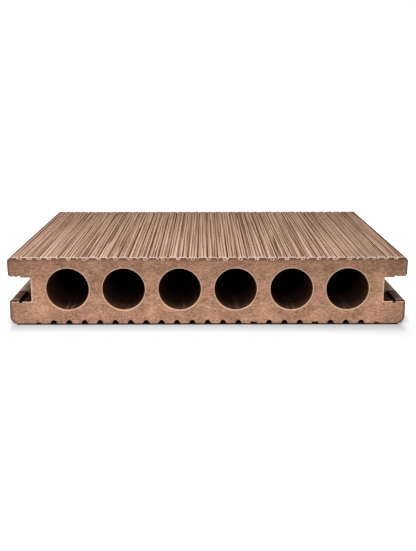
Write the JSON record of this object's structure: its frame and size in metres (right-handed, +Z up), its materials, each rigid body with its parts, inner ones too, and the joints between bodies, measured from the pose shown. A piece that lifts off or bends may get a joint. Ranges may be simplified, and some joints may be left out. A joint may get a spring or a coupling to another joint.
{
  "type": "decking board",
  "caption": "Short sample of hollow composite decking board: a row of round chambers, fine grooves on top, wider grooves underneath and a clip slot along each side.",
  "frame": {"origin": "on the floor, under the middle of the board", "axes": "+X across the board's width, +Y along the way it was extruded, from the cut end in the picture to the far end, +Z up through the walking face"},
  "size_m": [0.145, 0.1, 0.025],
  "materials": {
    "board": "matte"
  },
  "bodies": {
    "root": {"decking_board": "board"}
  },
  "joints": []
}
